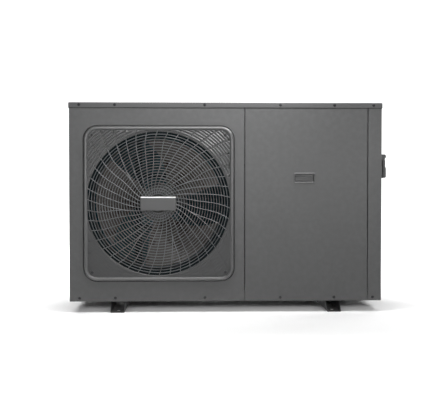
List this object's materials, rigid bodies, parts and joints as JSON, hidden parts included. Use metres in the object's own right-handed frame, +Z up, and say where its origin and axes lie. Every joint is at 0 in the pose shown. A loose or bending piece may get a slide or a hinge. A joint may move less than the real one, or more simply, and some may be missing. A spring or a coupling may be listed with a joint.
{
  "type": "pool heat pump",
  "caption": "Side-discharge pool heat pump: dark grey steel cabinet on foot rails, round ringed fan grille, flush-handled service panel, flip-lid controller, rear water unions.",
  "frame": {"origin": "bottom centre of the whole object's box, on the ground under the foot rails", "axes": "+X to the right seen from the fan side, +Y towards the rear with the water unions, +Z up"},
  "size_m": [1.03, 0.4926, 0.672],
  "materials": {
    "cabinet_paint": "fine satin powder coat, dark grey",
    "black_sheet": "semi-matt black coat",
    "dark_moulding": "fine moulded grain",
    "grille_moulding": "fine moulded grain, dark grey",
    "badge_face": "satin grey face with a pale metallic strip along its top",
    "fan_moulding": "smooth moulded grey",
    "galvanised_sheet": "dull zinc",
    "coil_fins": "blue-green hydrophilic coating",
    "copper_pipe": "drawn copper, slightly dulled",
    "grommet_rubber": "matt black rubber",
    "tail_moulding": "grey PVC",
    "board_laminate": "green solder mask",
    "terminal_moulding": "off-white moulding",
    "sink_aluminium": "plain extruded",
    "controller_fascia": "satin black fascia",
    "display_lens": "polished dark lens",
    "key_moulding": "light grey keys"
  },
  "bodies": {
    "cabinet": {"base_pan": "cabinet_paint", "foot_rail_left": "black_sheet", "foot_rail_right": "black_sheet", "top_cover": "cabinet_paint", "fan_panel": "cabinet_paint", "bell_mouth": "dark_moulding", "front_grille": "grille_moulding", "badge_plate": "badge_face", "right_panel": "cabinet_paint", "rear_panel": "cabinet_paint", "rear_corner_post": "cabinet_paint", "top_rail": "cabinet_paint", "rear_guard": "black_sheet", "left_guard": "black_sheet", "partition": "galvanised_sheet", "evaporator_coil": "coil_fins", "coil_header": "copper_pipe", "fan_motor": "black_sheet", "motor_bracket": "black_sheet", "compressor": "black_sheet", "compressor_grommet_1": "grommet_rubber", "compressor_grommet_2": "grommet_rubber", "compressor_grommet_3": "grommet_rubber", "accumulator": "black_sheet", "suction_elbow": "copper_pipe", "four_way_valve": "copper_pipe", "discharge_pipe": "copper_pipe", "suction_pipe": "copper_pipe", "coil_gas_pipe": "copper_pipe", "exchanger_gas_pipe": "copper_pipe", "filter_drier": "copper_pipe", "expansion_valve": "galvanised_sheet", "liquid_pipe": "copper_pipe", "heat_exchanger": "dark_moulding", "inlet_stub": "dark_moulding", "outlet_stub": "dark_moulding", "inlet_tailpiece": "tail_moulding", "outlet_tailpiece": "tail_moulding", "electric_box": "galvanised_sheet", "control_board": "board_laminate", "terminal_block": "terminal_moulding", "heat_sink": "sink_aluminium", "controller_housing": "grille_moulding", "controller_face": "controller_fascia", "display_window": "display_lens", "lid_pin": "galvanised_sheet", "cable_gland": "dark_moulding", "drain_nozzle": "dark_moulding"},
    "fan": {"fan_shaft": "galvanised_sheet", "fan_impeller": "fan_moulding", "fan_nut": "galvanised_sheet"},
    "service_door": {"service_panel": "cabinet_paint", "service_handle": "grille_moulding"},
    "lid": {"controller_lid": "grille_moulding"},
    "power_key": {"power_button": "key_moulding"},
    "mode_key": {"mode_button": "key_moulding"},
    "up_key": {"up_button": "key_moulding"},
    "down_key": {"down_button": "key_moulding"},
    "inlet_nut": {"inlet_union_nut": "dark_moulding"},
    "outlet_nut": {"outlet_union_nut": "dark_moulding"}
  },
  "joints": [
    {"name": "fan_spin", "type": "hinge", "parent": "cabinet", "child": "fan", "pos_m": [-0.231, -0.16875, 0.348], "axis": [0, -1, 0], "continuous": true},
    {"name": "service_pull", "type": "slide", "parent": "cabinet", "child": "service_door", "axis": [0, -1, 0], "range_m": [0, 0.12]},
    {"name": "lid_hinge", "type": "hinge", "parent": "cabinet", "child": "lid", "pos_m": [0.508, -0.09375, 0.4995], "axis": [0, -1, 0], "range_deg": [0, 110]},
    {"name": "power_press", "type": "slide", "parent": "cabinet", "child": "power_key", "axis": [-1, 0, 0], "range_m": [0, 0.0015], "stiffness_N_per_m": 1200},
    {"name": "mode_press", "type": "slide", "parent": "cabinet", "child": "mode_key", "axis": [-1, 0, 0], "range_m": [0, 0.0015], "stiffness_N_per_m": 1200},
    {"name": "up_press", "type": "slide", "parent": "cabinet", "child": "up_key", "axis": [-1, 0, 0], "range_m": [0, 0.0015], "stiffness_N_per_m": 1200},
    {"name": "down_press", "type": "slide", "parent": "cabinet", "child": "down_key", "axis": [-1, 0, 0], "range_m": [0, 0.0015], "stiffness_N_per_m": 1200},
    {"name": "inlet_nut_turn", "type": "hinge", "parent": "cabinet", "child": "inlet_nut", "pos_m": [0.36, 0.20325, 0.15], "axis": [0, 1, 0], "continuous": true},
    {"name": "outlet_nut_turn", "type": "hinge", "parent": "cabinet", "child": "outlet_nut", "pos_m": [0.36, 0.20325, 0.37], "axis": [0, 1, 0], "continuous": true}
  ]
}
